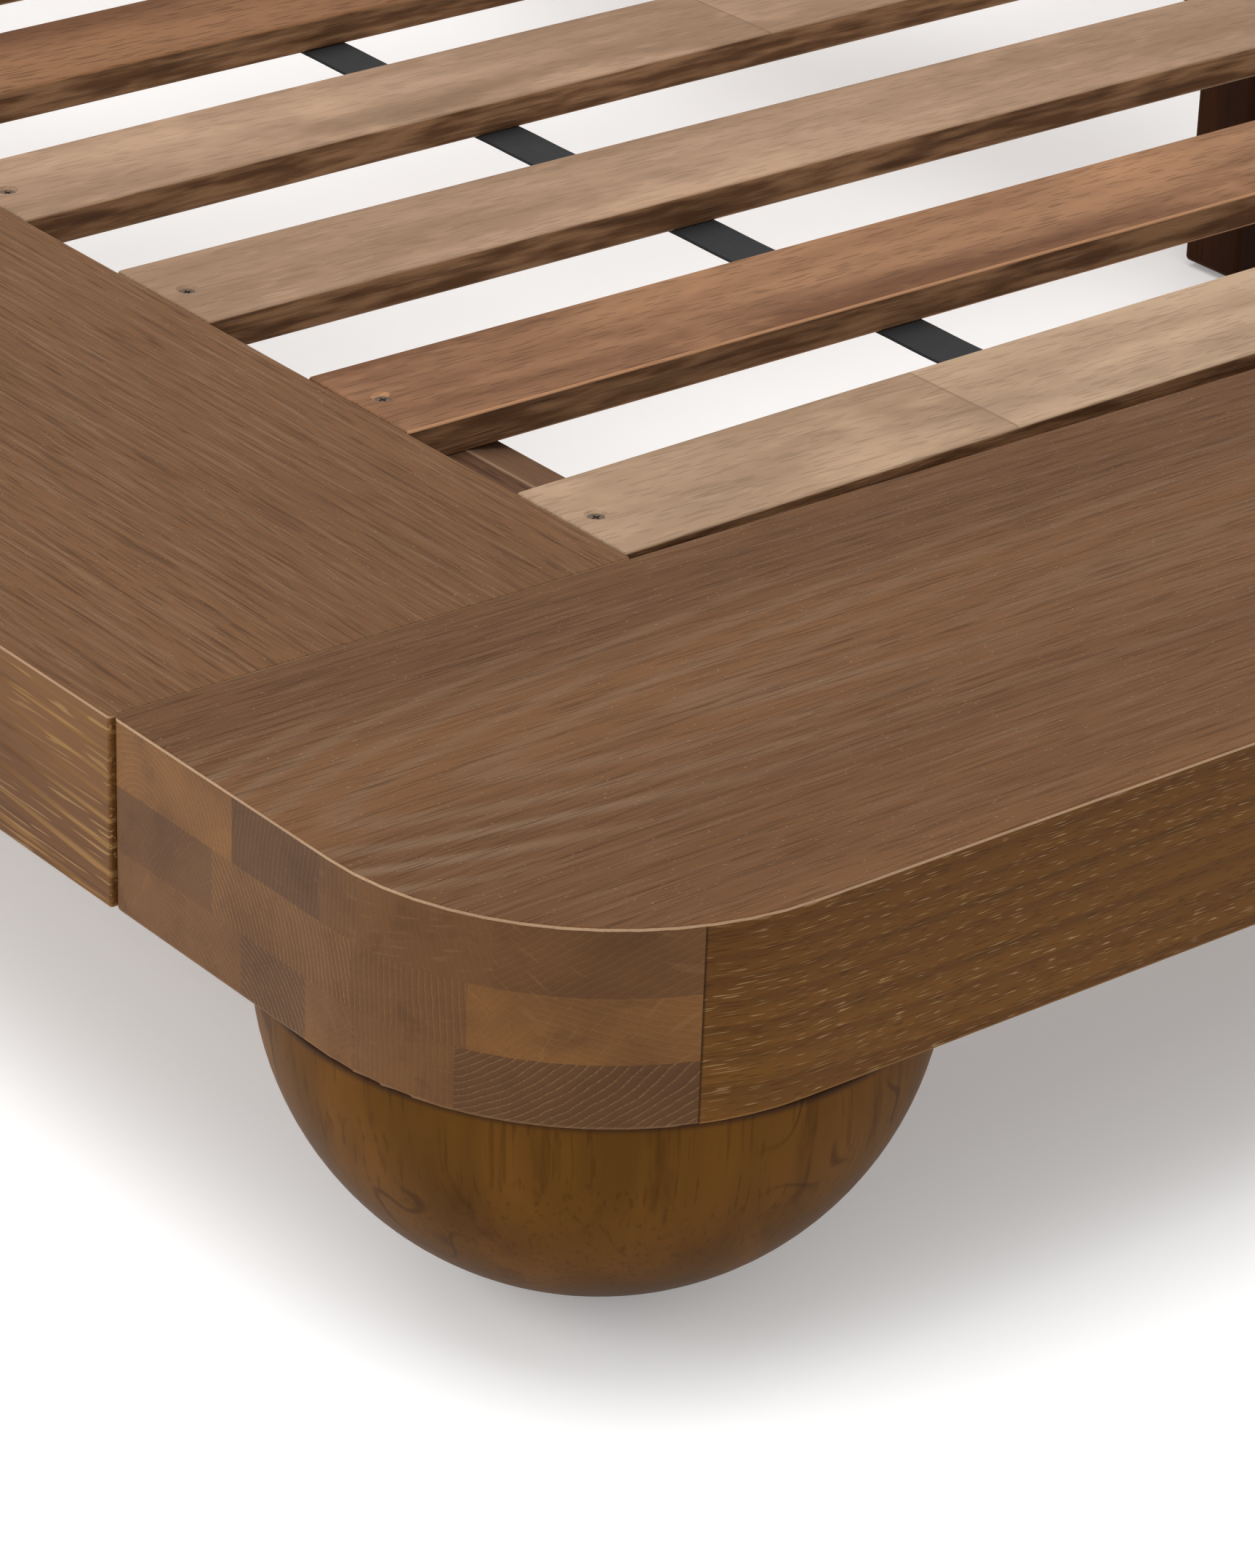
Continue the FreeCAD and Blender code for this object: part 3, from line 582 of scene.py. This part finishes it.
# Each slat: its tones, how clear its pores and near edge are, and where it is finger-jointed.
SLAT_LOOKS = [(PALE, 0.25, 0.15, -0.586), (GOLDEN, 0.35, 0.85, None), (TAWNY, 0.22, 0.10, None),
              (TAWNY, 0.20, 0.10, -0.36), (RUSSET, 0.50, 0.15, None), (PALE, 0.25, 0.20, 0.46),
              (TAWNY, 0.30, 0.30, None), (GOLDEN, 0.45, 0.15, None), (TAWNY, 0.25, 0.40, -0.22),
              (PALE, 0.20, 0.15, None), (TAWNY, 0.25, 0.20, None), (RUSSET, 0.50, 0.30, 0.12)]
for number, ((dark, light), dashes, arris, joint) in enumerate(SLAT_LOOKS, start=1):
    slat = "slat_%02d" % number
    finish_nodes(slat_timber(slat + "_timber", dark, light, number * 1.7, dashes, arris, joint), slat)
bronzed_screw = worked_metal("bronzed_screw", (0.085, 0.055, 0.035), 0.4, 0.45, 1800.0)
finish_nodes(bronzed_screw, "slat_screws")


# ---- Straps -----------------------------------------------------------------------------------
# Black woven webbing stapled under every slat, a little slack from one slat to the next.
# It keeps the slats from spreading.

STRAP_SAG = 0.0005
STRAP_EDGE = 0.0004
WEFT_PITCH, WARP_PITCH = 0.0016, 0.0018
STRAP_LENGTHS, STRAP_WIDTHS = 420, 4            # faces along and across
WEBBING_DARK, WEBBING_LIGHT = (0.006, 0.006, 0.007), (0.020, 0.020, 0.022)
WEBBING_DUST = (0.030, 0.029, 0.028)

slat_edges = [[corner[1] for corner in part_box("slat_%02d" % number)] for number in range(1, 13)]
webbing = Finish("black_webbing", "YXZ", Specular_IOR_Level=0.3)
weft = (webbing.along * 2 * math.pi / WEFT_PITCH).wave()
warp = (webbing.across * 2 * math.pi / WARP_PITCH).wave()
dust = noise(webbing.place, 60.0, 3.0)
cloth = colour_between(weft * warp * 0.25 + 0.35, WEBBING_DARK, WEBBING_LIGHT)
webbing.colour(colour_between(dust.step(0.5, 0.8) * 0.3, cloth, WEBBING_DUST))
webbing.gloss(0.62 + dust * 0.2)
webbing.relief(weft * warp, 0.00018)


def slack(y):
    """How far the webbing hangs below the slats at a place along the bed."""
    for this, following in zip(slat_edges, slat_edges[1:]):
        if this[1] < y < following[0]:
            part = (y - this[1]) / (following[0] - this[1])
            return STRAP_SAG * math.sin(math.pi * part) ** 1.5
    return 0.0


for node in ("strap_left", "strap_right"):
    low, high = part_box(node)
    bpy.ops.object.select_all(action="DESELECT")
    bpy.ops.mesh.primitive_grid_add(x_subdivisions=STRAP_WIDTHS, y_subdivisions=STRAP_LENGTHS, size=1.0)
    strap = bpy.context.object
    strap.name = "woven_" + node
    for vertex in strap.data.vertices:
        x, y = [(low[i] + high[i]) / 2 + vertex.co[i] * (high[i] - low[i]) for i in (0, 1)]
        vertex.co = (x, y, high[2] - slack(y))
    weave = strap.modifiers.new("thickness", "SOLIDIFY")
    weave.thickness = high[2] - low[2]
    weave.offset = -1.0
    weave.use_even_offset = True
    edge = strap.modifiers.new("woven_edge", "BEVEL")
    edge.width = STRAP_EDGE
    edge.segments = 2
    edge.limit_method = "ANGLE"
    for modifier in ("thickness", "woven_edge"):
        bpy.ops.object.modifier_apply(modifier=modifier)
    bpy.ops.object.shade_smooth_by_angle(angle=math.radians(40))
    strap.data.materials.append(webbing.material)
    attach(strap, "root")
    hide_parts(node)
finish_nodes(zinc, "strap_staples")


# ---- Ball feet --------------------------------------------------------------------------------
# Half balls turned from glued-up blocks, grain upright, stained olive brown and waxed to a sheen.
# Hanger bolts hold them to the end rails, and a felt pad is let in under each.

BALL_DARK, BALL_LIGHT = (0.064, 0.026, 0.004), (0.119, 0.048, 0.008)
BALL_BLOCK, BALL_SWIRL = (0.069, 0.029, 0.004), (0.025, 0.008, 0.001)
BALL_FIBRE, BALL_MARK = (0.033, 0.011, 0.001), (0.024, 0.009, 0.001)
# Painted shade and painted shadow: the foot's darker lower part, and its dark rim under the rail.
BALL_PAINTED_SHADE, BALL_PAINTED_SHADOW = (0.044, 0.016, 0.001), (0.015, 0.007, 0.006)
# Heights on the foot where the painted shadow of the rail above it begins and is full.
PAINTED_SHADOW_START, PAINTED_SHADOW_FULL = 0.1205, 0.1240      # heights on the foot, just under the rail
BALL_SHEEN = 0.02
FELT_DARK, FELT_LIGHT = (0.075, 0.070, 0.064), (0.150, 0.140, 0.128)


def turned_wood(name, seed):
    finish = Finish(name, "ZXY", seed, Specular_IOR_Level=BALL_SHEEN)
    warp = noise(finish.place, 9.0, 2.0) - 0.5
    bent = moved(finish.grain, vector_of(warp * 0.06, warp * 0.03, warp * 0.03))
    cloud = noise(bent, (5.0, 26.0, 26.0), 3.0)
    swirl = noise(bent, (7.0, 60.0, 60.0), 4.0, 0.6)
    fibre = noise(bent, (14.0, 500.0, 500.0), 2.0)
    contour = noise(moved(bent, (5, 2, 8)), (15.0, 26.0, 26.0), 1.0)
    knot = noise(moved(finish.place, (7 + seed, 1, 4)), 16.0, 1.0)
    block = noise(finish.place, (22.0, 22.0, 0.1), 0.0)
    # Painted shade: the foot darkens towards the floor, below 9 cm.
    low = finish.along.step(0.09, 0.0)
    # Painted shadow: the foot's top rim, just under the rail, is darkened as if the rail shaded it.
    painted_rail_shadow = finish.along.step(PAINTED_SHADOW_START, PAINTED_SHADOW_FULL)
    colour = colour_between(cloud.step(0.3, 0.72), BALL_DARK, BALL_LIGHT)
    colour = colour_between(block.step(0.45, 0.60) * 0.35, colour, BALL_BLOCK)
    colour = colour_between(swirl.step(0.56, 0.74) * 0.45, colour, BALL_SWIRL)
    colour = colour_between(fibre.step(0.46, 0.30) * 0.35, colour, BALL_FIBRE)
    mark = abs(contour - 0.5).step(0.022, 0.004) * knot.step(0.50, 0.60)
    colour = colour_between(mark * 0.55, colour, BALL_MARK)
    colour = colour_between(low * 0.4, colour, BALL_PAINTED_SHADE)
    colour = colour_between(painted_rail_shadow * 0.75, colour, BALL_PAINTED_SHADOW)
    finish.colour(colour)
    finish.gloss(0.34 + cloud * 0.1)
    finish.relief(fibre * 0.6 + swirl * 0.3, 0.0001)
    return finish


for number, corner in enumerate(CORNERS):
    finish_nodes(turned_wood("ball_" + corner + "_wood", number * 2.9), "ball_foot_" + corner)
finish_nodes(zinc, "foot_bolts")
finish_nodes(brass, "foot_inserts")

felt = Finish("grey_felt", Specular_IOR_Level=0.1)
hair = noise(felt.place, 1500.0, 3.0)
felt.colour(colour_between(hair.step(0.3, 0.7), FELT_DARK, FELT_LIGHT))
felt.gloss(0.9 + hair * 0.05)
felt.relief(hair, 0.0003)
finish_nodes(felt, "foot_glides", "leg_glides")


# ---- Camera, floor and light ----------------------------------------------------------------
# A low three-quarter view over the left corner of the foot end, on a plain white studio floor.

CAMERA_PLACE = (-2.0176, -2.3038, 1.0893)
CAMERA_TURN = (62.879, -1.870, -38.528)

camera = bpy.data.cameras.new("camera")
camera.lens = 125.16
camera.sensor_width = 36.0
camera_object = bpy.data.objects.new("camera", camera)
camera_object.location = CAMERA_PLACE
camera_object.rotation_euler = Euler([math.radians(turn) for turn in CAMERA_TURN])
bpy.context.scene.collection.objects.link(camera_object)
bpy.context.scene.camera = camera_object

bpy.ops.object.select_all(action="DESELECT")
bpy.ops.mesh.primitive_plane_add(size=60.0)
floor = bpy.context.object
floor.name = "floor"
floor_paint = bpy.data.materials.new("floor_paint")
floor_paint.use_nodes = True
paint = floor_paint.node_tree.nodes["Principled BSDF"].inputs
paint["Base Color"].default_value = (0.9, 0.9, 0.9, 1)
paint["Roughness"].default_value = 0.9
paint["Emission Color"].default_value = (1, 1, 1, 1)
paint["Emission Strength"].default_value = 0.22
floor.data.materials.append(floor_paint)


def soft_box(name, place, aim, size, power):
    light = bpy.data.lights.new(name, "AREA")
    light.shape = "RECTANGLE"
    light.size, light.size_y = size
    light.energy = power
    lamp = bpy.data.objects.new(name, light)
    lamp.location = place
    lamp.rotation_euler = (Vector(aim) - Vector(place)).to_track_quat("-Z", "Y").to_euler()
    bpy.context.scene.collection.objects.link(lamp)


soft_box("overhead_box", (-0.6, 0.2, 4.2), (-0.4, -0.2, 0.0), (5.0, 5.0), 190)
soft_box("left_box", (-4.2, 0.6, 2.2), (0.0, -0.2, 0.1), (3.0, 2.0), 50)

world = bpy.data.worlds.new("studio")
world.use_nodes = True
world.node_tree.nodes["Background"].inputs["Color"].default_value = (1, 1, 1, 1)
world.node_tree.nodes["Background"].inputs["Strength"].default_value = 0.80
bpy.context.scene.world = world
bpy.context.scene.view_settings.view_transform = "Standard"
